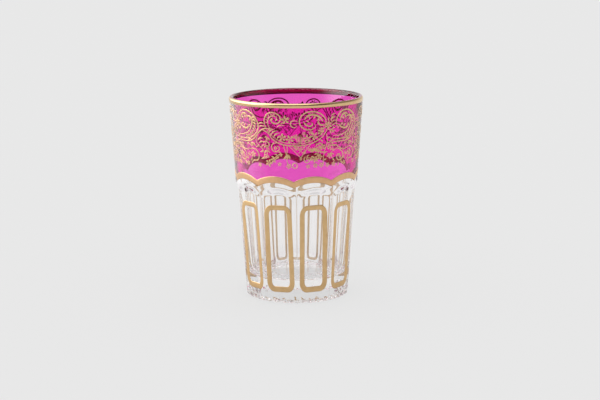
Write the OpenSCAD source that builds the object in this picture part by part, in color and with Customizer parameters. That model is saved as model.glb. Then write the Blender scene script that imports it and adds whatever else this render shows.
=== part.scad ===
// Pressed tea glass with flat panels, a stained collar and fired gilding.
// Millimetres, +Z up. The origin is on the table, at the middle of the foot.

/* [Glass body] */
// Height of the glass from the table to the crest of the lip
glass_h = 90; // [70:1:120]
// Outside diameter of the cone at the lip
rim_d = 60; // [54:0.5:72]
// Outside diameter that the same cone has at the table
foot_d = 47.4; // [42:0.2:54]
// Wall thickness at the lip
lip_t = 2; // [1.4:0.1:3]
// Thickness of the bottom
floor_t = 9.5; // [5:0.5:16]
// Diameter of the flat part of the floor inside
floor_d = 28; // [20:0.5:32]
// Radius between the floor and the inside wall
corner_r = 7; // [3:0.5:8]
// Radius of the rounded heel
heel_r = 2; // [1:0.1:3]
// Diameter of the shallow hollow under the foot
punt_d = 36; // [24:0.5:38]
// Depth of the hollow under the foot
punt_depth = 0.8; // [0.3:0.1:2]

/* [Panels] */
// Number of flat panels
panel_n = 10; // [8:1:12]
// Width of the round land left between two panels
panel_land = 0.4; // [0.2:0.1:1]
// Rise of each arch above its cusps
arch_rise = 2.2; // [1.5:0.1:4]
// Bare strip of glass between the arches and the gold border above them
arch_gap = 2.7; // [1:0.1:4]

/* [Fired layers] */
// Thickness of the stain on the collar
lustre_t = 0.08; // [0.05:0.01:0.15]
// Thickness of the gilding
gold_t = 0.1; // [0.06:0.01:0.2]
// Height of the gold line below the crest of the lip
rim_line_h = 1.7; // [1.2:0.1:4]
// Angle round the lip at which the gold line ends
rim_wrap_a = 100; // [95:5:160]
// Width of the scalloped gold border
border_w = 2.7; // [1.5:0.1:4]
// Turn of the painted border against the panels
border_turn = -2.5; // [-6:0.5:6]

/* [Panel frames] */
// Outside width of a frame
frame_w = 12.7; // [9:0.1:13]
// Bare glass between the top of a frame and the cusps of the arches
frame_head = 5.5; // [4:0.1:12]
// Width of the frame's line
frame_line = 1.95; // [0.8:0.05:2.5]
// Outside corner radius of a frame
frame_r = 3.5; // [2.6:0.1:4.5]
// Height of the bottom of a frame above the table
frame_z = 5; // [3:0.1:9]
// Lean of a frame on its panel, as applied by hand
frame_lean = 1.2; // [-3:0.1:3]

/* [Scroll lace] */
// Number of repeats of the lace round the collar
lace_n = 4; // [3:1:5]
// Angle left open where the two ends of the lace meet
lace_join = 7.2; // [0:0.1:12]
// Height of the lace
lace_h = 25.5; // [20:0.5:27]
// Distance from the crest of the lip down to the top of the lace
lace_drop = 3; // [2.5:0.1:5]
// Plain strip of stain between the lace and the crowns of the border
lace_foot = 3.6; // [1:0.1:6]
// Width of the broad lines of the lace
broad_w = 0.8; // [0.4:0.05:1.2]
// Width of the fine lines and of tapered ends
fine_w = 0.35; // [0.2:0.05:0.5]
// Clearance between the stain and the flat facets of the lace
lace_gap = 0.02; // [0.015:0.005:0.05]

/* [Hidden] */
$fn = 96;
cut_over = 1;
gold_colour = [0.80, 0.66, 0.42];
taper_a = atan((rim_d - foot_d) / 2 / glass_h);

// From the lip down come the lace, the border, the arches of the panels and the frames.
// The border and the arches are placed by the cusps between their scallops.
lace_z = glass_h - lace_drop - lace_h;
border_z = lace_z - lace_foot - border_w - arch_rise;
arch_z = border_z - arch_gap;
frame_h = arch_z - frame_head - frame_z;

// Outside radius of the cone at height z, and of a layer that lies d off it
function cone_r(z) = foot_d / 2 + (rim_d - foot_d) / 2 * z / glass_h;
function layer_r(z, d) = cone_r(z) + d / cos(taper_a);

// Points of an arc about c from angle a0 to a1
arc_steps = 8;
function arc(c, r, a0, a1) =
    [for (i = [0:arc_steps]) let (a = a0 + (a1 - a0) * i / arc_steps) c + r * [cos(a), sin(a)]];

// The heel is tangent to the table and the cone, and the lip to the cone and the inside wall
lip_r = lip_t / 2;
heel_c = [layer_r(heel_r, -heel_r), heel_r];
lip_c = [layer_r(glass_h - lip_r, -lip_r), glass_h - lip_r];
corner_c = [floor_d / 2, floor_t + corner_r];
bore_run = lip_c - corner_c;
bore_a = acos((lip_r + corner_r) / norm(bore_run)) - atan2(bore_run.y, bore_run.x);

// Half the angle that a panel spans, without and with the lands beside it
pitch_half = 180 / panel_n;
land_a = panel_land / rim_d * 180 / PI;
panel_half = pitch_half - land_a;
// A vertical edge between two panels faces the front
function panel_a(k) = -90 + (2 * k + 1) * pitch_half;
function flat_r(z, half) = cone_r(z) * cos(half);

// Everything outside the flat panels and under their sloped arches, raised by lift
module panel_cutters(lift, half) {
    foot = [flat_r(-cut_over, half), -cut_over];
    spring = [flat_r(arch_z + lift, half), arch_z + lift];
    crown_z = arch_z + arch_rise + lift;
    crown = [cone_r(crown_z), crown_z];
    past = 2 * crown - spring;
    for (k = [0:panel_n - 1])
        rotate([90, 0, panel_a(k)])
            linear_extrude(height = rim_d, center = true)
                polygon([foot, spring, past, [rim_d, past.y], [rim_d, -cut_over]]);
}

module glass_body() {
    outline = concat(
        [[0, punt_depth], [punt_d / 2 - punt_depth, punt_depth], [punt_d / 2, 0]],
        arc(heel_c, heel_r, -90, -taper_a),
        arc(lip_c, lip_r, -taper_a, 180 - bore_a),
        arc(corner_c, corner_r, -bore_a, -90),
        [[0, floor_t]]);
    color([0.90, 0.94, 0.93, 0.4])
        difference() {
            rotate_extrude() polygon(outline);
            panel_cutters(0, panel_half);
        }
}

// Band round the cone from height z0 to z1, between d0 and d1 off the glass
module cone_band(z0, z1, d0, d1) {
    rotate_extrude()
        polygon([
            [layer_r(z0, d0), z0], [layer_r(z0, d1), z0],
            [layer_r(z1, d1), z1], [layer_r(z1, d0), z1]]);
}

// The stain reaches from the border up to the gold line. Its cusps are blunt by its own thickness.
rim_line_z = glass_h - rim_line_h;
cusp_z = border_z + lustre_t;
module lustre() {
    color([0.84, 0.03, 0.58, 0.7])
        difference() {
            cone_band(cusp_z, rim_line_z, 0, lustre_t);
            rotate([0, 0, border_turn]) panel_cutters(arch_gap, panel_half);
        }
}

// The gold line runs up the cone and over the lip
module rim_gilding() {
    color(gold_colour)
        rotate_extrude()
            polygon(concat(
                [[layer_r(rim_line_z, 0), rim_line_z], [layer_r(rim_line_z, gold_t), rim_line_z]],
                arc(lip_c, lip_r + gold_t, -taper_a, rim_wrap_a),
                arc(lip_c, lip_r, rim_wrap_a, -taper_a)));
}

module scalloped_border() {
    top_z = border_z + arch_rise + border_w + cut_over;
    color(gold_colour)
        difference() {
            intersection() {
                cone_band(cusp_z, top_z, lustre_t, lustre_t + gold_t);
                rotate([0, 0, border_turn]) panel_cutters(arch_gap + border_w, pitch_half + land_a);
            }
            rotate([0, 0, border_turn]) panel_cutters(arch_gap, panel_half);
        }
}

module rounded_plate(w, h, r) {
    square([w - 2 * r, h], center = true);
    square([w, h - 2 * r], center = true);
    for (x = [-1, 1], y = [-1, 1])
        translate([x * (w / 2 - r), y * (h / 2 - r)]) circle(r);
}

// Outline on panel k: local x runs across the panel, local y up it
module panel_frame(k) {
    mid_z = frame_z + frame_h / 2;
    flat_slope = atan((flat_r(glass_h, panel_half) - flat_r(0, panel_half)) / glass_h);
    color(gold_colour)
        rotate([0, 0, panel_a(k)])
            translate([flat_r(mid_z, panel_half), 0, mid_z])
                rotate([0, 90 + flat_slope, 0])
                    rotate([0, 0, 90 + frame_lean])
                        linear_extrude(height = gold_t)
                            difference() {
                                rounded_plate(frame_w, frame_h, frame_r);
                                rounded_plate(
                                    frame_w - 2 * frame_line,
                                    frame_h - 2 * frame_line,
                                    frame_r - frame_line);
                            }
}

// The lace is drawn on a flat sheet, x along the collar and y up, and wrapped on the cone.
// Places on the sheet are shares of one repeat's width and of the lace's height.
lace_r = cone_r(lace_z + lace_h / 2);
repeat_a = (360 - lace_join) / lace_n;
lace_pitch = PI / 180 * repeat_a * lace_r;
lace_turn_share = 0.70;
function spot(s) = [(s.x - lace_turn_share) * lace_pitch, lace_z + s.y * lace_h];
function spots(list) = [for (s = list) spot(s)];
function wrap(p, d) =
    let (a = p.x / lace_r * 180 / PI, r = layer_r(p.y, d)) [r * sin(a), -r * cos(a), p.y];

// A stroke is a list of points on the sheet, each with its width as a third number
function volute(c, r0, r1, a0, a1, w0, w1, n) =
    [for (i = [0:n]) let (t = i / n, a = a0 + (a1 - a0) * t, r = r0 + (r1 - r0) * t)
        [c.x + r * cos(a), c.y + r * sin(a), w0 + (w1 - w0) * t]];
function swell(p, w_end, w_mid, n) =
    [for (i = [0:n]) let (t = i / n, s = 1 - t,
        b = s * s * s * p[0] + 3 * s * s * t * p[1] + 3 * s * t * t * p[2] + t * t * t * p[3])
        [b.x, b.y, w_end + (w_mid - w_end) * sin(180 * t)]];
function tail(list) = [for (i = [1:len(list) - 1]) list[i]];
function heading(path, i) =
    let (a = path[max(i - 1, 0)], b = path[min(i + 1, len(path) - 1)], d = [b.x - a.x, b.y - a.y])
    d / norm(d);
function side_point(path, i, side) =
    let (h = heading(path, i), w = side * path[i].z / 2) [path[i].x - h.y * w, path[i].y + h.x * w];

lace_d0 = lustre_t + lace_gap;
lace_d1 = lace_d0 + gold_t;

module ribbon(path) {
    n = len(path);
    points = [for (i = [0:n - 1]) each [
        wrap(side_point(path, i, 1), lace_d0), wrap(side_point(path, i, -1), lace_d0),
        wrap(side_point(path, i, -1), lace_d1), wrap(side_point(path, i, 1), lace_d1)]];
    walls = [for (i = [0:n - 2], j = [0:3]) let (a = 4 * i + j, b = 4 * i + (j + 1) % 4)
        each [[a, a + 4, b + 4], [a, b + 4, b]]];
    last = 4 * (n - 1);
    ends = [[0, 1, 2], [0, 2, 3], [last, last + 2, last + 1], [last, last + 3, last + 2]];
    polyhedron(points, concat(walls, ends));
}

petal_n = 5;
petal_waist_share = 0.42;
module blossom(c, r) {
    n = 2 * petal_n;
    edge = [for (i = [0:n - 1]) let (a = 90 + 360 * i / n, q = i % 2 == 0 ? r : r * petal_waist_share)
        c + q * [cos(a), sin(a)]];
    points = concat(
        [for (p = edge) wrap(p, lace_d0)], [for (p = edge) wrap(p, lace_d1)],
        [wrap(c, lace_d0), wrap(c, lace_d1)]);
    faces = [for (i = [0:n - 1]) let (j = (i + 1) % n) each [
        [i, j, 2 * n], [n + j, n + i, 2 * n + 1], [j, i, n + i], [j, n + i, n + j]]];
    polyhedron(points, faces);
}

// The ends of the lace meet to the right of the first repeat
module on_repeat(k) {
    color(gold_colour) rotate([0, 0, k * repeat_a + (k > 0 ? lace_join : 0)]) children();
}

// Great scroll: a broad line that rises from the left into a large volute, with a leafy curl inside
great_c = spot([0.177, 0.79]);
great_r_share = 0.225;
great_end_share = 0.74;
great_curl_shares = [0.58, 0.40];
great_leaf_shares = [0.10, 0.28];
great_tail_shares = [[0.02, 0.52], [0.13, 0.45]];
module great_scroll(k) {
    r = great_r_share * lace_h;
    start = great_c + r * [cos(-50), sin(-50)];
    lead = start - r * [cos(40), sin(40)];
    stem = swell(concat(spots(great_tail_shares), [lead, start]), fine_w, broad_w, 8);
    curl = volute(great_c, r, r * great_end_share, -50, 225, fine_w, broad_w, 24);
    inner_r = r * great_curl_shares;
    leaf_r = r * great_leaf_shares;
    on_repeat(k) {
        ribbon(concat(stem, tail(curl)));
        ribbon(volute(great_c, inner_r[0], inner_r[1], 65, -215, broad_w, fine_w, 18));
        for (a = [0, 120, 240])
            ribbon(volute(great_c, leaf_r[0], leaf_r[1], a, a + 40, fine_w, fine_w, 3));
    }
}

// Festoon: a hanging double line that curls up into a small volute at the left and a round one at the right
small_c = spot([0.476, 0.86]);
round_c = spot([0.835, 0.84]);
small_r_share = 0.165;
small_eye_share = 0.22;
round_r_share = 0.25;
round_end_share = 0.56;
round_leaf_shares = [0.34, 0.30];
swag_shares = [[0.41, 0.66], [0.50, 0.33], [0.92, 0.33], [0.99, 0.70]];
inner_swag_shares = [[0.46, 0.64], [0.54, 0.40], [0.88, 0.40], [0.95, 0.68]];
module festoon(k) {
    small_r = small_r_share * lace_h;
    round_r = round_r_share * lace_h;
    foot = spot(swag_shares[0]);
    head = small_c + small_r * [cos(210), sin(210)];
    neck = [foot, foot + (head - foot) / 3, head - small_r / 3 * [cos(120), sin(120)], head];
    swag = swell(spots(swag_shares), fine_w, fine_w, 18);
    rise = swell(neck, fine_w, fine_w, 4);
    small = volute(small_c, small_r, small_r * small_eye_share, 210, -225, fine_w, broad_w, 30);
    ring = volute(round_c, round_r, round_r * round_end_share, -12, 300, fine_w, fine_w, 28);
    leaf_r = round_r * round_leaf_shares;
    on_repeat(k) {
        ribbon(concat([for (i = [len(swag) - 1:-1:1]) swag[i]], rise, tail(small)));
        ribbon(swell(spots(inner_swag_shares), fine_w, fine_w, 14));
        ribbon(ring);
        ribbon(volute(round_c, leaf_r[0], leaf_r[1], 120, 330, fine_w, broad_w, 12));
    }
}

// Blossoms: a row above the festoon, single flowers between the volutes and sprays below
row_n = 8;
row_r_share = 0.043;
row_shares = [[0.52, 0.68], [0.57, 0.49], [0.85, 0.49], [0.90, 0.68]];
flower_shares = [
    [0.592, 0.87, 0.062], [0.672, 0.80, 0.05], [1.025, 0.75, 0.045], [0.60, 0.225, 0.05],
    [0.615, 0.08, 0.055], [0.70, 0.09, 0.04], [0.81, 0.33, 0.07], [0.78, 0.20, 0.05],
    [0.90, 0.21, 0.06], [0.93, 0.39, 0.06], [0.89, 0.07, 0.05], [0.42, 0.14, 0.05],
    [0.99, 0.52, 0.055], [0.48, 0.30, 0.05], [1.00, 0.31, 0.055]];
module blossoms(k) {
    row = swell(spots(row_shares), fine_w, fine_w, row_n - 1);
    on_repeat(k) {
        for (p = row) blossom([p.x, p.y], row_r_share * lace_h);
        for (f = flower_shares) blossom(spot(f), f.z * lace_h);
    }
}

// Lower spray: two curls under the great scroll, and stems with leaves that hang below the festoon
curl_shares = [[0.085, 0.21, 0.115], [0.25, 0.22, 0.11]];
curl_eye_share = 0.25;
stem_shares = [
    [[-0.06, 0.40], [0.02, 0.44], [0.10, 0.40], [0.17, 0.30]],
    [[0.30, 0.45], [0.38, 0.47], [0.40, 0.34], [0.36, 0.22]],
    [[0.595, 0.40], [0.60, 0.36], [0.60, 0.33], [0.60, 0.29]],
    [[0.655, 0.40], [0.67, 0.33], [0.69, 0.28], [0.715, 0.22]],
    [[0.76, 0.40], [0.75, 0.36], [0.735, 0.28], [0.725, 0.24]]];
leaf_shares = [
    [[0.41, 0.44], [0.45, 0.47]], [[0.30, 0.37], [0.34, 0.38]], [[0.42, 0.28], [0.44, 0.23]],
    [[0.53, 0.34], [0.55, 0.27]], [[0.84, 0.22], [0.85, 0.14]], [[0.94, 0.28], [0.95, 0.20]]];
module lower_spray(k) {
    on_repeat(k) {
        for (c = curl_shares)
            let (r = c.z * lace_h)
                ribbon(volute(spot(c), r, r * curl_eye_share, 150, -330, fine_w, broad_w, 22));
        for (s = stem_shares) ribbon(swell(spots(s), fine_w, fine_w, 6));
        for (s = leaf_shares)
            let (a = spot(s[0]), b = spot(s[1]))
                ribbon(swell([a, (2 * a + b) / 3, (a + 2 * b) / 3, b], fine_w / 2, broad_w, 3));
    }
}

glass_body();
lustre();
rim_gilding();
scalloped_border();
panel_frame(0);  // panel_frame_01
panel_frame(1);  // panel_frame_02
panel_frame(2);  // panel_frame_03
panel_frame(3);  // panel_frame_04
panel_frame(4);  // panel_frame_05
panel_frame(5);  // panel_frame_06
panel_frame(6);  // panel_frame_07
panel_frame(7);  // panel_frame_08
panel_frame(8);  // panel_frame_09
panel_frame(9);  // panel_frame_10
great_scroll(0);  // great_scroll_1
great_scroll(1);  // great_scroll_2
great_scroll(2);  // great_scroll_3
great_scroll(3);  // great_scroll_4
festoon(0);  // festoon_1
festoon(1);  // festoon_2
festoon(2);  // festoon_3
festoon(3);  // festoon_4
blossoms(0);  // blossoms_1
blossoms(1);  // blossoms_2
blossoms(2);  // blossoms_3
blossoms(3);  // blossoms_4
lower_spray(0);  // lower_spray_1
lower_spray(1);  // lower_spray_2
lower_spray(2);  // lower_spray_3
lower_spray(3);  // lower_spray_4
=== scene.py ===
import math

import bmesh
import bpy
from mathutils import Matrix, Vector


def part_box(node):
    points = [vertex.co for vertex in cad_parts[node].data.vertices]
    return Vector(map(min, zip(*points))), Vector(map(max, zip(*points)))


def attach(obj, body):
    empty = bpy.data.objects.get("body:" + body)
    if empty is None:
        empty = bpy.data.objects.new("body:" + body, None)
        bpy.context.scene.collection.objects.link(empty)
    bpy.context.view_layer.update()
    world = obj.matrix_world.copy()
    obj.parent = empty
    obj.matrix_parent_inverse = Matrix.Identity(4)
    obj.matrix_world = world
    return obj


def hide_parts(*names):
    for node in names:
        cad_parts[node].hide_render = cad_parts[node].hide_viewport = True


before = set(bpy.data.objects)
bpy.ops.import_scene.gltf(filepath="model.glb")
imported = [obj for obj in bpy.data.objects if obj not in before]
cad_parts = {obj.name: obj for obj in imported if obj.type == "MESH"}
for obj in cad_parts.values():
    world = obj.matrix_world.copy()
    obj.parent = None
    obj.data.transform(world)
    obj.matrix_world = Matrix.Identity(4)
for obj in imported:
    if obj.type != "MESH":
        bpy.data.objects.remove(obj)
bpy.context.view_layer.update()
scene = bpy.context.scene

# Glass body
# Clear soda glass, pressed in a mould in one piece: a round collar over ten flat panels that run
# out under low arches, a thick bottom with a rounded corner inside, and a hollow under a foot
# with a knurled edge.
MM = 0.001
hair = 0.001 * MM
glass_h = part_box("glass_body")[1].z
rim_r = 30 * MM
foot_r = 23.7 * MM
lip_r = 1 * MM
floor_z = 9.5 * MM
floor_r = 14 * MM
corner_r = 7 * MM
heel_r = 2 * MM
punt_r = 18 * MM
punt_depth = 0.8 * MM
panel_n = 10
panel_land = 0.4 * MM
arch_z = 50.9 * MM
arch_rise = 2.2 * MM
shoulder_h = 4.3 * MM
bead_h = 2.6 * MM
bead_t = 0.2 * MM
turn_steps = 54 * panel_n

taper = math.atan((rim_r - foot_r) / glass_h)
taper_deg = math.degrees(taper)
panel_half = math.pi / panel_n - panel_land / (2 * rim_r)


def cone_r(z, off=0):
    """Outside radius of the glass at height z, or of a layer that lies off it."""
    return foot_r + (rim_r - foot_r) * z / glass_h + off / math.cos(taper)


def arc(middle, r, start, end, steps):
    """Points of an arc in the profile, with angles in degrees from the outward direction."""
    turns = [math.radians(start + (end - start) * i / steps) for i in range(steps + 1)]
    return [(middle[0] + r * math.cos(a), middle[1] + r * math.sin(a)) for a in turns]


def from_middle(place):
    """Angle of a place from the middle of its panel."""
    pitch = 2 * math.pi / panel_n
    return math.atan2(place.x, -place.y) % pitch - pitch / 2


def panel_depth(turn):
    """Depth of a flat panel under the round glass, as a share of the radius."""
    return max(0, 1 - math.cos(panel_half) / math.cos(turn))


def scallop(place):
    """Height of the arches: 0 at a cusp and 1 over the middle of a panel."""
    return panel_depth(from_middle(place)) / panel_depth(0)


def ease(t):
    """Smooth step from 0 to 1."""
    t = min(1, max(0, t))
    return t * t * (3 - 2 * t)


def turned(profile, closed=False):
    """Profile of radii and heights turned once round the axis of the glass."""
    bm = bmesh.new()
    points = [bm.verts.new((r, 0, z)) for r, z in profile]
    ends = points[1:] + points[:1] if closed else points[1:]
    lines = [bm.edges.new(pair) for pair in zip(points, ends)]
    bmesh.ops.spin(
        bm, geom=points + lines, cent=(0, 0, 0), axis=(0, 0, 1), angle=2 * math.pi,
        steps=turn_steps, use_merge=True)
    bmesh.ops.remove_doubles(bm, verts=bm.verts, dist=hair)
    bmesh.ops.recalc_face_normals(bm, faces=bm.faces)
    return bm


def finished(name, bm, material, node):
    """Smooth piece that rides on the glass and stands for its solid."""
    mesh = bpy.data.meshes.new(name)
    bm.to_mesh(mesh)
    bm.free()
    mesh.shade_smooth()
    mesh.materials.append(material)
    piece = bpy.data.objects.new(name, mesh)
    scene.collection.objects.link(piece)
    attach(piece, "root")
    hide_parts(node)


def new_material(name):
    """Material with its node tree, its shader and its object coordinates."""
    material = bpy.data.materials.new(name)
    material.use_nodes = True
    tree = material.node_tree
    place = tree.nodes.new("ShaderNodeTexCoord")
    return material, tree, tree.nodes["Principled BSDF"], place.outputs["Object"]


def see_through(shader, ior):
    """Makes a shader smooth and clear, with an index of refraction."""
    shader.inputs["Transmission Weight"].default_value = 1
    shader.inputs["Roughness"].default_value = 0
    shader.inputs["IOR"].default_value = ior


def noise(tree, place, scale, detail):
    """Noise over the object, with scale in ripples per metre."""
    node = tree.nodes.new("ShaderNodeTexNoise")
    node.inputs["Scale"].default_value = scale
    node.inputs["Detail"].default_value = detail
    tree.links.new(place, node.inputs["Vector"])
    return node.outputs["Fac"]


def bump(tree, shader, height, depth):
    """Bump of the given depth on a shader."""
    node = tree.nodes.new("ShaderNodeBump")
    node.inputs["Distance"].default_value = depth
    tree.links.new(height, node.inputs["Height"])
    tree.links.new(node.outputs["Normal"], shader.inputs["Normal"])


glass_colour = (0.993, 0.987, 0.988, 1)
glass_ior = 1.51
glass_waves = 90
glass_wave_depth = 0.02 * MM
clear_glass, tree, shader, place = new_material("clear_glass")
shader.inputs["Base Color"].default_value = glass_colour
see_through(shader, glass_ior)
bump(tree, shader, noise(tree, place, glass_waves, 1), glass_wave_depth)

heel = (cone_r(heel_r, -heel_r), heel_r)
lip = (cone_r(glass_h - lip_r, -lip_r), glass_h - lip_r)
corner = (floor_r, floor_z + corner_r)
bore_run = Vector(lip) - Vector(corner)
bore_lean = math.acos((lip_r + corner_r) / bore_run.length) - math.atan2(bore_run.y, bore_run.x)
bore_deg = math.degrees(bore_lean)

# Rings of the wall, in millimetres over the edge of the arches
shoulder_steps = 16
bead_steps = 10
foot_rises = [-48.5, -48, -47.5, -47]
panel_rises = [-44, -40, -30, -20, -14, -10, -7, -5.5, -4.6]
shoulder_rises = [shoulder_h / MM * (i / shoulder_steps - 1) for i in range(shoulder_steps)]
bead_rises = [bead_h / MM * i / bead_steps for i in range(bead_steps + 1)]
collar_rises = [4, 7, 12, 20, 30]
wall_rises = foot_rises + panel_rises + shoulder_rises + bead_rises + collar_rises
wall_heights = [arch_z + rise * MM for rise in wall_rises]

punt_steps = 12
heel_steps = 8
round_steps = 14
outline = (
    [(punt_r * i / punt_steps, punt_depth) for i in range(punt_steps)]
    + [(punt_r - punt_depth, punt_depth), (punt_r, 0)]
    + arc(heel, heel_r, -90, -taper_deg, heel_steps)
    + [(cone_r(z), z) for z in wall_heights]
    + arc(lip, lip_r, -taper_deg, 180 - bore_deg, round_steps)
    + arc(corner, corner_r, -bore_deg, -90, round_steps)
    + [(floor_r / 2, floor_z), (0, floor_z)])
glass = turned(outline)

# Flat panels under the arches
outside_slack = 0.2 * MM
plain_collar = 10 * MM
arch_fade_up = 7 * MM
arch_fade_down = 20 * MM
for vert in glass.verts:
    r = vert.co.xy.length
    z = vert.co.z
    within = r < cone_r(z) * math.cos(math.pi / panel_n) - outside_slack
    if within or z > arch_z + plain_collar:
        continue
    drop = arch_z - z
    near_arch = min(1, 1 + (drop + bead_h) / arch_fade_up, 1 - (drop - shoulder_h) / arch_fade_down)
    z += max(0, near_arch) * arch_rise * scallop(vert.co)
    step = ease(drop / shoulder_h)
    bead = bead_t * ease(1 + drop / bead_h) * (1 - step)
    limit = cone_r(z) * (1 - step * panel_depth(from_middle(vert.co))) + bead
    r = min(r + (z - vert.co.z) * math.tan(taper) + bead, limit)
    heading = vert.co.xy.normalized()
    vert.co = (heading.x * r, heading.y * r, z)

# Ripples that the mould left in the hollow under the foot
ripple = 0.012 * MM
ripple_l = 1 * MM
ripple_edge = 1.5 * MM
for vert in glass.verts:
    if vert.co.z < punt_depth + hair and vert.co.xy.length < punt_r - ripple_edge:
        vert.co.z += ripple * math.sin(vert.co.x / ripple_l) * math.sin(vert.co.y / ripple_l + 1)

# Knurls round the edge that the glass stands on, slanted, and uneven in pitch and depth
knurl_n = 44
knurl_h = 3.6 * MM
knurl_depth = 0.5 * MM
knurl_fade = 1.5
knurl_slant = 900
knurl_sway = 1.5
sway_n = 7
knurl_uneven = 0.3
uneven_n = 11
for vert in glass.verts:
    out = vert.co.xy.length - heel[0]
    if vert.co.z < knurl_h and out > -hair:
        dip = math.atan2(max(0, heel_r - vert.co.z), out)
        turn = math.atan2(vert.co.x, -vert.co.y)
        fade = ease((knurl_h - vert.co.z) / knurl_h * knurl_fade)
        phase = knurl_n * turn + knurl_sway * math.sin(sway_n * turn) + knurl_slant * vert.co.z
        wave = 0.5 - 0.5 * math.cos(phase)
        uneven = 1 - knurl_uneven + knurl_uneven * math.sin(uneven_n * turn)
        cut = knurl_depth * fade * wave * uneven
        inward = vert.co.xy.normalized() * cut * math.cos(dip)
        vert.co += Vector((-inward.x, -inward.y, cut * math.sin(dip)))
finished("glass_tumbler", glass, clear_glass, "glass_body")

# Lustre
# Magenta stain fired into the outside of the collar, from under the gold border up to the lip.
# It is a clear film, a little uneven, that colours the light that goes through it.
film_outside = 0.04 * MM
film_inside = 0.06 * MM
film_rises = [0.4, 1, 2, 4, 7, 10, 20, 30]
film_end = 100
film_steps = 8
film_ior = 1.2
stain_deep = (0.95, 0.1, 0.6)
stain_pale = (0.97, 0.14, 0.68)
stain_clouds = 60
border_z = 53 * MM
border_turn = math.radians(-2.5)
scallop_full = 4 * MM
scallop_end = 20 * MM


def blend(tree, share, first, second):
    """Colour that goes from the first to the second with a share."""
    node = tree.nodes.new("ShaderNodeMix")
    node.data_type = "RGBA"
    tree.links.new(share, node.inputs["Factor"])
    for colour, socket in ((first, node.inputs["A"]), (second, node.inputs["B"])):
        if isinstance(colour, tuple):
            socket.default_value = (*colour, 1)
        else:
            tree.links.new(colour, socket)
    return node.outputs["Result"]


magenta_lustre, tree, shader, place = new_material("magenta_lustre")
stain = blend(tree, noise(tree, place, stain_clouds, 2), stain_deep, stain_pale)
tree.links.new(stain, shader.inputs["Base Color"])
see_through(shader, film_ior)


def film_face(depth):
    """Profile of one face of the film, at a depth under the outside of the glass."""
    heights = [border_z + rise * MM for rise in film_rises]
    wall = [(cone_r(z, -depth), z) for z in heights]
    return wall + arc(lip, lip_r - depth, -taper_deg, film_end, film_steps)


def scalloped(bm):
    """Lifts the foot of a band into scallops, which fade out further up the collar."""
    for vert in bm.verts:
        rise = vert.co.z - border_z
        hold = min(1, max(0, (scallop_end - rise) / (scallop_end - scallop_full)))
        lift = hold * arch_rise * scallop(Matrix.Rotation(-border_turn, 3, "Z") @ vert.co)
        out = vert.co.xy.normalized() * lift * math.tan(taper)
        vert.co += Vector((out.x, out.y, lift))


film = turned(film_face(film_outside) + film_face(film_inside)[::-1], closed=True)
scalloped(film)
finished("lustre_film", film, magenta_lustre, "lustre")

# Gold at the rim
# Bright gold brushed on the turning glass: a line on the outside that ends just short of the crest.
# It is a little taller at the back, where the brush came off.
gold_sunk = 0.03 * MM
gold_proud = 0.07 * MM
gold_clouds = 350
gold_grain = 2500
gold_grain_depth = 0.015 * MM
rim_line_z = glass_h - 1.95 * MM
rim_line_edge = 0.1 * MM
rim_full_end = 58
rim_thin_end = 64
rim_steps = 16
rim_sag = 0.9 * MM


def gold(name, dull, bright, underside_painted_light, smooth, rough):
    """Fired gold, uneven in colour and polish; the side that lies on the glass takes a colour of painted
    light and shade, for how it looks lit through the glass.
    """
    material, tree, shader, place = new_material(name)
    shader.inputs["Metallic"].default_value = 1
    cloud = noise(tree, place, gold_clouds, 3)
    mark = tree.nodes.new("ShaderNodeAttribute")
    mark.attribute_name = "underside"
    # Painted light and shade: faces marked as the underside take the colour given for the underside,
    # which stands in for how the gold is lit seen through the glass.
    colour = blend(tree, mark.outputs["Fac"], blend(tree, cloud, dull, bright), underside_painted_light)
    tree.links.new(colour, shader.inputs["Base Color"])
    tree.links.new(blend(tree, cloud, (rough,) * 3, (smooth,) * 3), shader.inputs["Roughness"])
    bump(tree, shader, noise(tree, place, gold_grain, 3), gold_grain_depth)
    return material


def gilt(name, bm, material, node):
    """Finished gold piece, with the side that lies on the glass marked for its painted light and shade.
    """
    bm.normal_update()
    mark = bm.faces.layers.float.new("underside")
    for face in bm.faces:
        face[mark] = float(face.normal.xy.dot(face.calc_center_median().xy) < 0)
    finished(name, bm, material, node)


# Painted shade: the side of the rim on the glass is a dark red-brown, for the gold seen in shade from
# inside the glass.
bright_gold = gold(
    "bright_gold", dull=(0.66, 0.44, 0.22), bright=(0.80, 0.56, 0.30), underside_painted_light=(0.5, 0.25, 0.24),
    smooth=0.14, rough=0.26)
rim_outer = [
    (cone_r(rim_line_z, -gold_sunk), rim_line_z),
    (cone_r(rim_line_z, gold_proud), rim_line_z + rim_line_edge)]
rim_outer += arc(lip, lip_r + gold_proud, -taper_deg, rim_full_end, rim_steps)
rim_outer += arc(lip, lip_r, rim_thin_end, rim_thin_end, 1)[:1]
rim_inner = arc(lip, lip_r - gold_sunk, -taper_deg, rim_thin_end, rim_steps)
rim = turned(rim_outer + rim_inner[::-1], closed=True)
for vert in rim.verts:
    if vert.co.z < rim_line_z + 2 * rim_line_edge:
        heading = vert.co.xy.normalized()
        sag = rim_sag * (1 + heading.y) / 2
        vert.co -= Vector((heading.x * math.tan(taper), heading.y * math.tan(taper), 1)) * sag
gilt("gilt_rim", rim, bright_gold, "rim_gilding")

# Gold border
# A broad gold line brushed along the foot of the stain, in ten scallops that follow the arches. It
# covers the edge of the stain, and is fired on like the other gold.
border_w = 2.9 * MM
border_foot = border_z - 0.2 * MM
border_shares = [0, 0.06, 0.2, 0.5, 0.8, 0.94, 1]
border_domes = [0, 0.6, 0.9, 1, 0.9, 0.6, 0]
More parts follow.
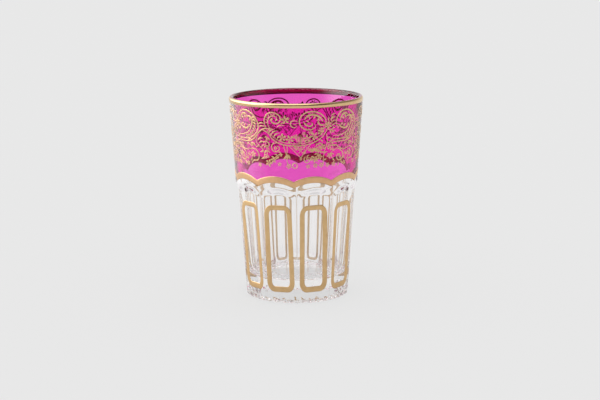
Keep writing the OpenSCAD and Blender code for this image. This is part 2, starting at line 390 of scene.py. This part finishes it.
# Painted shade: the side of the border on the glass is a little darker than its face.
border_gold = gold(
    "border_gold", dull=(0.66, 0.39, 0.2), bright=(0.82, 0.53, 0.29), underside_painted_light=(0.58, 0.38, 0.2),
    smooth=0.3, rough=0.45)
border_outer = [
    (cone_r(border_foot + share * border_w, dome * gold_proud), border_foot + share * border_w)
    for share, dome in zip(border_shares, border_domes)]
border_inner = [(cone_r(z, -gold_sunk), z) for z in (border_foot + border_w, border_foot)]
border = turned(border_outer + border_inner, closed=True)
scalloped(border)
gilt("gilt_border", border, border_gold, "scalloped_border")

# Gold frames
# One rounded outline on each flat panel, painted freehand with a loaded brush and fired on, so that
# it leans a little, lies a little to one side and is broader at its foot.
frame_w = 12.7 * MM
frame_h = 39.8 * MM
frame_z = 5 * MM
frame_r = 3.5 * MM
corner_stretch = 1.3
corner_steps = 12
frame_line = 2.2 * MM
frame_foot = 0.4 * MM
frame_lean = math.radians(0.8)
frame_shift = -0.25 * MM
line_shares = [0.07, 0.16, 0.27, 0.27, 0.16, 0.07]
line_domes = [0.6, 0.92, 1, 0.92, 0.6, 0]
# Painted light: the side of the frames on the glass is pale and bright, for the gold seen lit through
# the glass.
frame_gold = gold(
    "frame_gold", dull=(0.62, 0.40, 0.19), bright=(0.78, 0.54, 0.28), underside_painted_light=(1, 0.78, 0.52),
    smooth=0.3, rough=0.45)


def gold_frame(number):
    """Outline with a domed line, seated on the flat of a panel."""
    bm = bmesh.new()
    bmesh.ops.create_grid(bm, x_segments=1, y_segments=1, size=0.5)
    bmesh.ops.scale(bm, vec=(frame_w, frame_h / corner_stretch, 1), verts=bm.verts)
    bmesh.ops.bevel(
        bm, geom=bm.verts[:], offset=frame_r, offset_type="OFFSET", affect="VERTICES",
        segments=corner_steps, profile=0.5, material=-1)
    bmesh.ops.scale(bm, vec=(1, corner_stretch, 1), verts=bm.verts)
    plate = bm.faces[:]
    for share, dome in zip(line_shares, line_domes):
        bmesh.ops.inset_individual(bm, faces=plate, thickness=share * frame_line)
        for vert in plate[0].verts:
            vert.co.z = dome * gold_proud
            if vert.co.y < 0:
                vert.co.y += share * frame_foot
    bmesh.ops.delete(bm, geom=plate, context="FACES_ONLY")
    bmesh.ops.solidify(bm, geom=bm.faces[:], thickness=gold_sunk)
    bmesh.ops.recalc_face_normals(bm, faces=bm.faces)
    middle = frame_z + frame_h / 2
    lean = math.atan(math.tan(taper) * math.cos(panel_half))
    turn = (2 * number + 1) * math.pi / panel_n
    seat = (
        Matrix.Rotation(turn, 4, "Z")
        @ Matrix.Translation((frame_shift, -cone_r(middle) * math.cos(panel_half), middle))
        @ Matrix.Rotation(math.pi / 2 + lean, 4, "X")
        @ Matrix.Rotation(frame_lean, 4, "Z"))
    bmesh.ops.transform(bm, matrix=seat, verts=bm.verts)
    return bm


for number in range(panel_n):
    label = f"{number + 1:02d}"
    gilt(f"gilt_frame_{label}", gold_frame(number), frame_gold, f"panel_frame_{label}")

# Great scrolls
# The largest leaf scroll of the gold lace, with the two long tails that run on from it. The lace
# is a gold transfer of four equal repeats, laid round the collar with a small gap where it meets,
# and a little lower behind.
repeat_n = 4
repeat_pitch = math.radians(88.2)
repeat_join = 2 * math.pi - repeat_n * repeat_pitch
lace_r = 28.7 * MM
lace_flat = 0.16
lace_drop = 0.5 * MM
lace_tilt = 1.3 * MM
leaf_bow = 0.15
# Painted shade: the side of the lace on the glass is a dark brown, for the gold seen in shade through
# the glass.
transfer_gold = gold(
    "transfer_gold", dull=(0.66, 0.41, 0.22), bright=(0.82, 0.56, 0.32), underside_painted_light=(0.36, 0.22, 0.13),
    smooth=0.3, rough=0.45)


def sheet_of(name):
    """Empty drawing, flat, for strokes given in millimetres along and up the collar."""
    sheet = bpy.data.curves.new(name, "CURVE")
    sheet.dimensions = "3D"
    sheet.bevel_depth = MM
    sheet.bevel_resolution = 2
    sheet.resolution_u = 4
    sheet.use_fill_caps = True
    return sheet


def stroke(sheet, points, *widths):
    """Smooth stroke through points, with widths spread evenly from its start to its end."""
    line = sheet.splines.new("BEZIER")
    line.bezier_points.add(len(points) - 1)
    for i, (knot, point) in enumerate(zip(line.bezier_points, points)):
        step = i / (len(points) - 1) * (len(widths) - 1)
        first = min(int(step), len(widths) - 2)
        knot.co = (point[0] * MM, point[1] * MM, 0)
        knot.handle_left_type = knot.handle_right_type = "AUTO"
        knot.radius = (widths[first] + (widths[first + 1] - widths[first]) * (step - first)) / 2


def leaf(sheet, base, tip, width, bow=leaf_bow):
    """Bowed leaf, thin at the base, broad in the middle and pointed."""
    along = Vector(tip) - Vector(base)
    middle = Vector(base) + along * 0.5 + Vector((-along.y, along.x)) * bow
    stroke(sheet, [base, middle, tip], 0.3 * width, width, 0.15 * width)


def leaves(sheet, rows):
    """Leaves, each given by its base, its tip and its width."""
    for base, tip, width in rows:
        leaf(sheet, base, tip, width)


def leaf_fan(sheet, middle, turns, inner, outer, swing, width, bow=leaf_bow):
    """Leaves set round a middle, from an inner radius to an outer one, their tips swung back."""
    for turn in turns:
        base_turn = math.radians(turn)
        tip_turn = math.radians(turn - swing)
        base = (middle[0] + inner * math.cos(base_turn), middle[1] + inner * math.sin(base_turn))
        tip = (middle[0] + outer[0] * math.cos(tip_turn), middle[1] + outer[1] * math.sin(tip_turn))
        leaf(sheet, base, tip, width, bow)


def laid(name, sheet, node):
    """Pieces of a drawing, pressed flat, laid on the cone of the collar at every repeat."""
    drawn = bpy.data.objects.new(name, sheet)
    scene.collection.objects.link(drawn)
    depsgraph = bpy.context.evaluated_depsgraph_get()
    flat = bpy.data.meshes.new_from_object(drawn.evaluated_get(depsgraph))
    bpy.data.objects.remove(drawn)
    for number in range(repeat_n):
        turn = number * repeat_pitch + (repeat_join if number else 0)
        bm = bmesh.new()
        bm.from_mesh(flat)
        for vert in bm.verts:
            lift = max(-gold_sunk, lace_flat * vert.co.z)
            heading = vert.co.x / lace_r + turn
            z = vert.co.y - lace_drop - lace_tilt * max(0, -math.cos(heading))
            r = cone_r(z, lift)
            vert.co = (r * math.sin(heading), -r * math.cos(heading), z)
        gilt(f"{name}_{number + 1}", bm, transfer_gold, f"{node}_{number + 1}")
    bpy.data.meshes.remove(flat)


scrolls = sheet_of("great_scroll_lines")
stroke(
    scrolls,
    [(-28.2, 79.0), (-29.6, 81.6), (-28.9, 84.3), (-26.9, 86.2), (-24.4, 86.8), (-21.4, 86.1),
     (-19.0, 84.4), (-17.5, 82.3), (-17.0, 80.3), (-17.4, 78.6), (-18.3, 77.2), (-20.0, 75.7),
     (-22.3, 74.7), (-26.0, 74.3), (-30.5, 74.5), (-33.0, 75.2)],
    0.3, 0.6, 0.75, 0.75, 0.7, 0.65, 0.55, 0.3)
stroke(
    scrolls,
    [(-23.6, 83.9), (-22.0, 84.2), (-20.5, 83.4), (-20.2, 82.0), (-20.7, 80.3), (-22.4, 77.6),
     (-24.9, 76.4), (-28.3, 75.8), (-31.0, 76.0)],
    0.4, 1.1, 1.0, 0.7, 0.6, 0.5, 0.25)
stroke(
    scrolls,
    [(-12.4, 79.4), (-14.6, 79.1), (-16.8, 77.6), (-18.6, 75.6), (-21.0, 73.8), (-24.5, 73.1),
     (-29.5, 73.2), (-32.5, 72.6)],
    0.3, 0.5, 0.6, 0.6, 0.5, 0.3)
stroke(
    scrolls, [(-27.4, 82.3), (-27.0, 83.9), (-25.8, 85.0), (-24.4, 85.3), (-23.1, 84.6)],
    0.3, 0.8, 1.0, 0.8, 0.3)
stroke(
    scrolls, [(-28.4, 80.6), (-26.4, 79.3), (-24.2, 78.8), (-22.7, 79.5), (-22.6, 80.8)],
    0.4, 0.8, 1.0, 0.8, 0.4)
leaves(scrolls, [
    ((-26.6, 83.8), (-25.3, 82.6), 0.9), ((-25.0, 84.8), (-24.0, 82.7), 0.9),
    ((-21.2, 83.6), (-22.1, 82.2), 0.9), ((-27.2, 80.2), (-25.6, 80.9), 0.9),
    ((-25.4, 79.4), (-24.2, 80.6), 0.9), ((-21.8, 79.4), (-21.6, 81.0), 0.7),
    ((-17.1, 81.2), (-13.8, 81.5), 0.7), ((-16.9, 80.1), (-13.4, 79.9), 0.6),
    ((-23.6, 73.3), (-21.0, 74.0), 0.9), ((-21.8, 72.7), (-19.3, 71.4), 0.8)])
leaf_fan(scrolls, (-24.5, 81.1), [34 - 14 * i for i in range(9)], 4.8, (6.4, 6.3), 13, 1.0)
leaves(scrolls, [
    ((-32.3 + 0.1 * i, 84.6 - 1.5 * i), (-30.1 + 0.1 * i, 85.6 - 1.5 * i), 0.65) for i in range(6)])
laid("gilt_great_scroll", scrolls, "great_scroll")

# Festoons
# Between the great scrolls the transfer has a garland that hangs on two lines, under a small
# volute, a round volute filled with leaves and a curl.
festoons = sheet_of("festoon_lines")
stroke(
    festoons,
    [(-13.1, 79.8), (-13.9, 82.2), (-13.3, 84.7), (-11.2, 86.4), (-8.8, 86.3), (-6.9, 85.0),
     (-6.7, 83.1), (-8.0, 81.9), (-9.8, 82.0), (-10.7, 83.2), (-10.0, 84.0)],
    0.4, 0.6, 0.65, 0.6, 0.55, 0.6, 0.8)
stroke(
    festoons,
    [(-11.5, 79.7), (-12.2, 81.6), (-11.9, 83.6), (-10.4, 85.0), (-8.8, 84.9), (-8.1, 83.8),
     (-8.8, 83.0)],
    0.3, 0.4, 0.45, 0.5, 0.5)
leaf_fan(festoons, (-10.0, 83.0), [205 - 24 * i for i in range(6)], 2.2, (3.2, 3.0), 14.32, 0.4)
stroke(
    festoons, [(0.6, 82.6), (-0.7, 83.3), (-2.1, 82.5), (-2.2, 81.1), (-1.0, 80.2), (0.4, 80.5)],
    0.2, 0.5, 0.6, 0.5, 0.2)
stroke(
    festoons,
    [(13.4, 81.4), (12.4, 84.0), (10.0, 86.2), (6.8, 87.0), (3.6, 86.3), (1.7, 84.2), (1.6, 81.7),
     (3.2, 79.8), (5.8, 79.1), (7.9, 79.9), (8.5, 81.3)],
    0.4, 0.55, 0.6, 0.6, 0.55, 0.6, 0.5, 0.2)
stroke(
    festoons, [(11.6, 82.4), (10.2, 84.4), (7.6, 85.6), (5.0, 85.2), (3.6, 83.5)],
    0.3, 0.9, 1.0, 0.8, 0.3)
stroke(festoons, [(12.8, 81.0), (10.8, 81.0), (9.5, 82.2), (10.0, 83.4)], 0.4, 0.9, 0.7, 0.2)
stroke(
    festoons, [(3.0, 82.8), (4.2, 81.4), (5.9, 80.7), (7.0, 81.4), (6.5, 82.4)],
    0.3, 0.8, 0.7, 0.5, 0.2)
stroke(
    festoons,
    [(-14.8, 78.7), (-12.4, 77.6), (-10.2, 74.8), (-6.6, 72.9), (-1.5, 72.2), (3.5, 72.4),
     (8.4, 73.8), (11.5, 75.8), (13.4, 78.2), (14.1, 80.0)],
    0.35, 0.5, 0.5, 0.5, 0.5, 0.35)
stroke(
    festoons,
    [(-12.6, 78.6), (-11.0, 77.0), (-9.2, 75.3), (-6.0, 73.9), (-1.5, 73.1), (3.5, 73.3),
     (7.8, 74.8), (10.8, 76.9), (12.8, 79.6)],
    0.2, 0.35, 0.35, 0.2)
stroke(festoons, [(-17.2, 77.4), (-15.2, 78.9), (-12.8, 79.5), (-10.8, 79.0)], 0.3, 0.45, 0.45, 0.2)
leaves(festoons, [
    ((7.9, 85.4), (7.2, 83.9), 0.8), ((5.4, 85.0), (5.7, 83.6), 0.8), ((9.8, 84.4), (8.7, 83.1), 0.8),
    ((4.2, 83.0), (5.5, 82.3), 0.7), ((12.8, 80.0), (9.9, 79.8), 0.8), ((12.4, 79.0), (10.2, 78.2), 0.7),
    ((-8.2, 80.3), (-5.0, 80.9), 0.6), ((-6.6, 81.7), (-5.2, 82.0), 0.5),
    ((0.4, 81.8), (-1.3, 81.7), 0.4), ((14.2, 79.2), (15.6, 76.6), 0.7),
    ((15.0, 79.0), (16.6, 77.2), 0.6), ((15.6, 82.2), (16.6, 84.8), 0.8),
    ((14.6, 82.4), (14.4, 84.4), 0.6)])
laid("gilt_festoon", festoons, "festoon")

# Blossoms
# Small gold flowers of five or six petals round a dot, set close along the garland and beside
# the volutes, on the same transfer.
blossoms = sheet_of("blossom_lines")


def flower(sheet, u, z, r, petals=5, turn=90, heart=0.2, middle=0.62, tip=0.12):
    """Flower of petals round a dot, with the widths of a petal as shares of the radius."""
    for i in range(petals):
        a = math.radians(turn + 360 * i / petals)
        points = [(u + s * r * math.cos(a), z + s * r * math.sin(a)) for s in (0.2, 0.62, 1)]
        stroke(sheet, points, heart * r, middle * r, tip * r)
    stroke(sheet, [(u - 0.08 * r, z), (u + 0.08 * r, z)], 0.4 * r, 0.4 * r)


flower(blossoms, -4.5, 83.5, 1.9, turn=100)
flower(blossoms, 14.2, 80.8, 1.8, petals=6)
for i, (u, z, r) in enumerate([
        (-5.9, 75.8, 1.7), (-2.7, 75.1, 1.8), (-0.2, 76.1, 1.1), (4.7, 75.3, 1.7), (7.7, 76.4, 1.7),
        (10.7, 78.0, 1.5), (6.1, 77.9, 0.9), (3.3, 77.5, 0.8)]):
    flower(blossoms, u, z, r, turn=90 + 25 * i, heart=0.15, middle=0.56, tip=0.36)
leaves(blossoms, [
    ((-12.2, 77.4), (-9.3, 79.3), 0.6), ((-11.2, 76.5), (-8.0, 78.8), 0.6),
    ((-10.0, 75.6), (-6.8, 77.8), 0.6), ((-8.4, 74.8), (-6.2, 76.6), 0.6),
    ((-12.4, 78.4), (-10.4, 79.6), 0.6)])
for side in (-1, -0.5, 0, 0.5, 1):
    base = (1.7 + 0.5 * side, 73.4)
    tip = (1.7 + 1.5 * side, 77.0 - 0.6 * side ** 2)
    leaf(blossoms, base, tip, 0.42, -leaf_bow * side)
laid("gilt_blossoms", blossoms, "blossoms")

# Lower sprays
# Under the garland the transfer ends in curls, leafy stems, a hanging net, bells and loose flowers,
# the lowest of them on the plain foot of the stain.
sprays = sheet_of("lower_spray_lines")
stroke(
    sprays, [(-31.8, 71.6), (-29.4, 71.7), (-26.6, 70.0), (-24.2, 69.4), (-22.6, 70.3)],
    0.3, 0.5, 0.5, 0.3)
stroke(
    sprays,
    [(-30.8, 69.2), (-28.6, 70.1), (-26.2, 69.0), (-24.9, 67.2), (-25.6, 65.2), (-27.4, 64.8),
     (-28.6, 66.0), (-28.0, 67.4), (-26.8, 67.2)],
    0.3, 0.5, 0.55, 0.5, 0.6)
stroke(
    sprays,
    [(-22.6, 69.6), (-20.6, 70.2), (-18.2, 69.2), (-17.3, 67.2), (-18.3, 65.2), (-20.6, 64.8),
     (-21.8, 63.4)],
    0.3, 0.55, 0.6, 0.55, 0.3)
stroke(
    sprays,
    [(-17.8, 75.9), (-18.4, 73.8), (-17.0, 71.6), (-15.4, 70.4), (-14.4, 68.0), (-14.8, 65.8)],
    0.25, 0.4, 0.4, 0.2)
stroke(
    sprays,
    [(-8.4, 73.4), (-10.2, 72.9), (-10.9, 71.2), (-9.8, 69.6), (-8.0, 69.8), (-7.4, 71.4),
     (-8.6, 72.0)],
    0.3, 0.5, 0.5, 0.5, 0.3)
stroke(sprays, [(-5.6, 72.6), (-5.0, 70.6), (-4.3, 68.2)], 0.4, 0.35, 0.3)
stroke(sprays, [(-3.9, 72.2), (-3.9, 70.4), (-4.2, 68.2)], 0.3, 0.3, 0.3)
stroke(sprays, [(-4.2, 66.2), (-4.0, 65.0), (-3.5, 63.9)], 0.3, 0.3, 0.3)
stroke(
    sprays, [(0.6, 63.4), (-0.5, 64.6), (-1.7, 63.4), (-0.5, 62.2), (0.6, 63.2)],
    0.45, 0.45, 0.45)
stroke(sprays, [(-3.0, 72.1), (-0.6, 69.6), (1.9, 66.9)], 0.3, 0.35, 0.3)
stroke(sprays, [(6.2, 72.6), (4.0, 69.8), (2.1, 66.9)], 0.3, 0.35, 0.3)
stroke(
    sprays, [(4.0, 67.4), (3.4, 66.2), (4.2, 64.8), (5.6, 65.2), (5.4, 66.4)],
    0.3, 0.5, 0.5, 0.3)
stroke(
    sprays, [(13.4, 77.0), (14.0, 74.0), (13.0, 70.4), (12.2, 66.0), (12.4, 63.6)],
    0.3, 0.35, 0.35, 0.2)
leaves(sprays, [
    ((-17.6, 74.0), (-15.0, 75.2), 0.9), ((-16.8, 73.0), (-14.5, 73.5), 0.8),
    ((-17.2, 72.2), (-18.8, 70.9), 0.7), ((-15.8, 71.2), (-14.0, 72.2), 0.7),
    ((-15.0, 69.8), (-16.6, 69.0), 0.7), ((-14.6, 68.4), (-12.8, 69.4), 0.7),
    ((-14.6, 67.0), (-16.2, 66.0), 0.7), ((-14.4, 66.2), (-12.6, 66.8), 0.7),
    ((-13.6, 75.4), (-12.4, 74.0), 0.6), ((-12.4, 73.6), (-12.2, 71.6), 0.7),
    ((-13.2, 71.2), (-12.0, 69.9), 0.6), ((-9.2, 66.2), (-7.6, 66.8), 0.7),
    ((-4.2, 68.4), (-5.7, 66.2), 1.0), ((-4.2, 68.4), (-4.2, 65.8), 1.0),
    ((-4.2, 68.4), (-2.7, 66.2), 1.0), ((-21.4, 66.2), (-22.4, 64.6), 0.7),
    ((-24.4, 71.4), (-22.4, 72.2), 0.7), ((-20.4, 72.6), (-19.0, 71.4), 0.7),
    ((-29.6, 64.6), (-30.8, 66.4), 0.7), ((-26.4, 64.2), (-25.0, 62.6), 0.8),
    ((-27.4, 63.9), (-28.2, 62.2), 0.7), ((-23.6, 67.8), (-22.6, 66.6), 0.6),
    ((13.6, 74.6), (15.2, 75.4), 0.7), ((13.4, 72.4), (15.0, 73.0), 0.7),
    ((12.6, 68.4), (14.2, 69.0), 0.7), ((12.6, 69.0), (11.0, 69.6), 0.6),
    ((12.4, 65.2), (14.0, 65.8), 0.7), ((10.6, 74.6), (11.8, 73.2), 0.6),
    ((3.2, 72.0), (3.6, 71.0), 0.5), ((-1.0, 71.8), (-0.6, 70.8), 0.5)])
leaf_fan(sprays, (8.1, 69.0), [20 + 23 * i for i in range(7)], 0.7, (2.6, 2.6), 0, 0.8, bow=0)


def twig(sheet, points, length, width):
    """Stem with a pair of leaves at each of its points but the last."""
    stroke(sheet, points, 0.3, 0.3)
    for start, end in zip(points, points[1:]):
        along = (Vector(end) - Vector(start)).normalized()
        for side in (-1, 1):
            across = Vector((along.y, -along.x)) * side
            tip = Vector(start) + (along * 0.7 + across) * length
            leaf(sheet, start, tip, width, -leaf_bow * side)


twig(sprays, [(9.6, 73.0), (10.2, 71.4), (10.0, 69.8), (9.6, 68.4), (9.2, 67.2)], 1.4, 0.7)
twig(
    sprays,
    [(-12.6, 75.6), (-13.6, 73.8), (-13.6, 71.8), (-13.0, 69.8), (-13.2, 67.8), (-13.8, 66.2)],
    1.3, 0.6)
twig(sprays, [(-6.6, 68.8), (-8.2, 67.8), (-9.8, 66.6), (-11.4, 65.6)], 1.2, 0.6)
twig(sprays, [(4.6, 67.0), (6.4, 66.6), (8.2, 65.8), (9.8, 64.8)], 1.2, 0.6)
twig(sprays, [(-26.4, 65.0), (-24.6, 65.8), (-23.2, 67.2), (-22.6, 68.6)], 1.0, 0.5)
twig(sprays, [(15.8, 74.0), (16.8, 72.0), (16.8, 70.0), (16.2, 68.0), (16.6, 66.0)], 1.2, 0.6)
for i in range(1, 4):
    stroke(sprays, [(-3.0 + 2.3 * i, 72.0), (2.0 + 1.0 * i, 67.6 + 1.2 * i)], 0.2, 0.2)
    stroke(sprays, [(6.2 - 2.3 * i, 72.2), (2.0 - 1.1 * i, 67.6 + 1.2 * i)], 0.2, 0.2)
for i, (u, z, r) in enumerate([
        (-20.6, 67.6, 1.5), (-26.8, 66.4, 0.8), (-12.4, 64.3, 1.7), (-10.2, 65.7, 1.4),
        (-3.3, 63.2, 1.3), (-9.1, 71.0, 0.9), (0.0, 71.0, 0.9), (3.6, 69.2, 0.8), (1.9, 70.6, 0.9),
        (2.0, 66.3, 0.7), (8.1, 66.2, 1.6), (10.5, 67.0, 1.4), (11.6, 71.4, 1.6), (11.4, 63.4, 1.3),
        (8.6, 63.3, 1.2), (14.9, 71.2, 1.3), (15.2, 67.4, 1.4), (-30.2, 63.4, 1.2),
        (-24.0, 63.4, 1.2), (-17.0, 63.2, 1.1), (-7.4, 64.0, 1.0), (5.2, 63.0, 1.0),
        (14.4, 63.2, 1.1), (-6.8, 68.2, 0.9), (-21.2, 71.9, 1.0), (6.0, 70.4, 0.9)]):
    flower(sprays, u, z, r, turn=90 + 25 * i)
laid("gilt_lower_spray", sprays, "lower_spray")

# Table top
# A pale matt top. The camera, and rays that come through the glass, also see an even pale light on it.
# In sharp mirror images it glows with painted light: a painted shade in front of the glass and a painted
# reflection of a bright window to the left.
pale = 0.8
dark = 0.06
top_reach = 4
top_rough = 0.6
seen_share = 0.85
through_share = 0.66
through_glow = 1.08
front_reach = (-0.18, -0.03)
left_reach = (-0.4, -0.05)
left_glow = 2.8

top_mesh = bpy.data.meshes.new("table_top")
bm = bmesh.new()
bmesh.ops.create_grid(bm, x_segments=1, y_segments=1, size=top_reach)
bm.to_mesh(top_mesh)
bm.free()
table_top = bpy.data.objects.new("table_top", top_mesh)
scene.collection.objects.link(table_top)


def combined(tree, operation, first, second):
    """Sum, product or other result of two values."""
    node = tree.nodes.new("ShaderNodeMath")
    node.operation = operation
    for value, socket in ((first, node.inputs[0]), (second, node.inputs[1])):
        if isinstance(value, (int, float)):
            socket.default_value = value
        else:
            tree.links.new(value, socket)
    return node.outputs["Value"]


def product(tree, *values):
    """Product of two or more values."""
    result = values[0]
    for value in values[1:]:
        result = combined(tree, "MULTIPLY", result, value)
    return result


def between(tree, share, first, second):
    """Value that goes from the first to the second with a share."""
    gain = combined(tree, "SUBTRACT", second, first)
    return combined(tree, "ADD", first, product(tree, share, gain))


def graded(tree, value, reach, start, end):
    """Smooth change from start to end as a value goes through its reach."""
    node = tree.nodes.new("ShaderNodeMapRange")
    node.interpolation_type = "SMOOTHSTEP"
    node.inputs["From Min"].default_value = reach[0]
    node.inputs["From Max"].default_value = reach[1]
    node.inputs["To Min"].default_value = start
    node.inputs["To Max"].default_value = end
    tree.links.new(value, node.inputs["Value"])
    return node.outputs["Result"]


def split(tree, place):
    """Parts of a direction or place."""
    node = tree.nodes.new("ShaderNodeSeparateXYZ")
    tree.links.new(place, node.inputs["Vector"])
    return node.outputs


def ray_kinds(tree, mirror):
    """Shares that tell a ray from the camera, one that came through glass and one that was mirrored."""
    path = tree.nodes.new("ShaderNodeLightPath").outputs
    through = path["Is Transmission Ray"]
    mirrored = combined(tree, "MAXIMUM", 0, combined(tree, "SUBTRACT", path[mirror], through))
    return path["Is Camera Ray"], through, mirrored


pale_top, tree, shader, place = new_material("pale_top")
shader.inputs["Base Color"].default_value = (pale, pale, pale, 1)
shader.inputs["Roughness"].default_value = top_rough
shader.inputs["Specular IOR Level"].default_value = 0
seen, through, mirrored = ray_kinds(tree, "Is Singular Ray")
spot = split(tree, place)
# Painted shade in front of the glass and painted light to the left, seen only in sharp mirror images of
# the top.
in_front = graded(tree, spot["Y"], front_reach, dark, 1)
at_left = graded(tree, spot["X"], left_reach, left_glow, 1)
straight_glow = between(tree, through, 1, through_glow)
glow = tree.nodes.new("ShaderNodeEmission")
glow.inputs["Color"].default_value = (pale, pale, pale, 1)
strength = between(tree, mirrored, straight_glow, product(tree, in_front, at_left))
tree.links.new(strength, glow.inputs["Strength"])
straight_share = combined(
    tree, "ADD", product(tree, seen, seen_share), product(tree, through, through_share))
lit = tree.nodes.new("ShaderNodeMixShader")
tree.links.new(between(tree, mirrored, straight_share, 1), lit.inputs["Fac"])
tree.links.new(shader.outputs["BSDF"], lit.inputs[1])
tree.links.new(glow.outputs["Emission"], lit.inputs[2])
tree.links.new(lit.outputs["Shader"], tree.nodes["Material Output"].inputs["Surface"])
top_mesh.materials.append(pale_top)

# Room
# Even pale light all round, brighter overhead. Metal and glass mirror a dark side behind the camera,
# a bright window side to the left and a dim corner high on the right. Through the glass show plain
# walls and a lamp overhead.
ceiling_reach = (0.35, 0.9)
ceiling_glow = 1.25
behind_reach = (-0.75, -0.15)
overhead_reach = (0.45, 0.85)
window_reach = (-0.9, -0.3)
window_glow = 4.5
plain_glow = 1.1
skylight_reach = (0.7, 0.95)
skylight_glow = 1.4
right_reach = (0, 0.9)
right_glow = 0.7
dim_right_reach = (0.15, 0.5)
dim_high_reach = (0.2, 0.5)
dim_glow = 0.3
wall_reach = (0, 0.15)
wall_low_glow = 0.85
wall_glow = 0.68
wall_behind_reach = (-0.8, -0.2)
wall_behind_glow = 0.3
lamp_reach = (0.75, 0.9)

world = bpy.data.worlds.new("pale_room")
scene.world = world
world.use_nodes = True
tree = world.node_tree
through, mirrored = ray_kinds(tree, "Is Glossy Ray")[1:]
heading = split(tree, tree.nodes.new("ShaderNodeTexCoord").outputs["Generated"])
dome = graded(tree, heading["Z"], ceiling_reach, pale, ceiling_glow)
dark_side = combined(
    tree, "MAXIMUM", graded(tree, heading["Y"], behind_reach, dark, 1),
    graded(tree, heading["Z"], overhead_reach, dark, 1))
window_side = product(
    tree, graded(tree, heading["X"], window_reach, window_glow, plain_glow),
    graded(tree, heading["Z"], skylight_reach, 1, skylight_glow),
    graded(tree, heading["X"], right_reach, 1, right_glow))
dim_share = product(
    tree, graded(tree, heading["X"], dim_right_reach, 0, 1),
    graded(tree, heading["Z"], dim_high_reach, 0, 1))
dim_corner = between(tree, dim_share, 1, dim_glow)
mirror_room = product(tree, dome, dark_side, window_side, dim_corner)
walls = product(
    tree, graded(tree, heading["Z"], wall_reach, wall_low_glow, wall_glow),
    graded(tree, heading["Y"], wall_behind_reach, wall_behind_glow, 1))
lamp = graded(tree, heading["Z"], lamp_reach, 0, 1)
room = between(tree, mirrored, dome, mirror_room)
room = between(tree, through, room, combined(tree, "ADD", walls, lamp))
background = tree.nodes["Background"]
background.inputs["Color"].default_value = (1, 1, 1, 1)
tree.links.new(room, background.inputs["Strength"])

# Camera
# A little above the lip, looking down at the middle of the glass, and rolled by less than half a
# degree. Light is followed through every wall, film and mirror image of the glass.
camera_dip = math.radians(11.071)
camera_roll = math.radians(-0.43)
camera_data = bpy.data.cameras.new("camera")
camera_data.lens = 87.72
camera_data.sensor_width = 36
camera_data.clip_end = 20
camera = bpy.data.objects.new("camera", camera_data)
scene.collection.objects.link(camera)
camera.location = (1.475 * MM, -650 * MM, 169.53 * MM)
facing = Matrix.Rotation(math.pi / 2 - camera_dip, 3, "X") @ Matrix.Rotation(camera_roll, 3, "Z")
camera.rotation_euler = facing.to_euler()
scene.camera = camera

scene.view_settings.view_transform = "Standard"
scene.cycles.max_bounces = 80
scene.cycles.transmission_bounces = 80
scene.cycles.glossy_bounces = 40
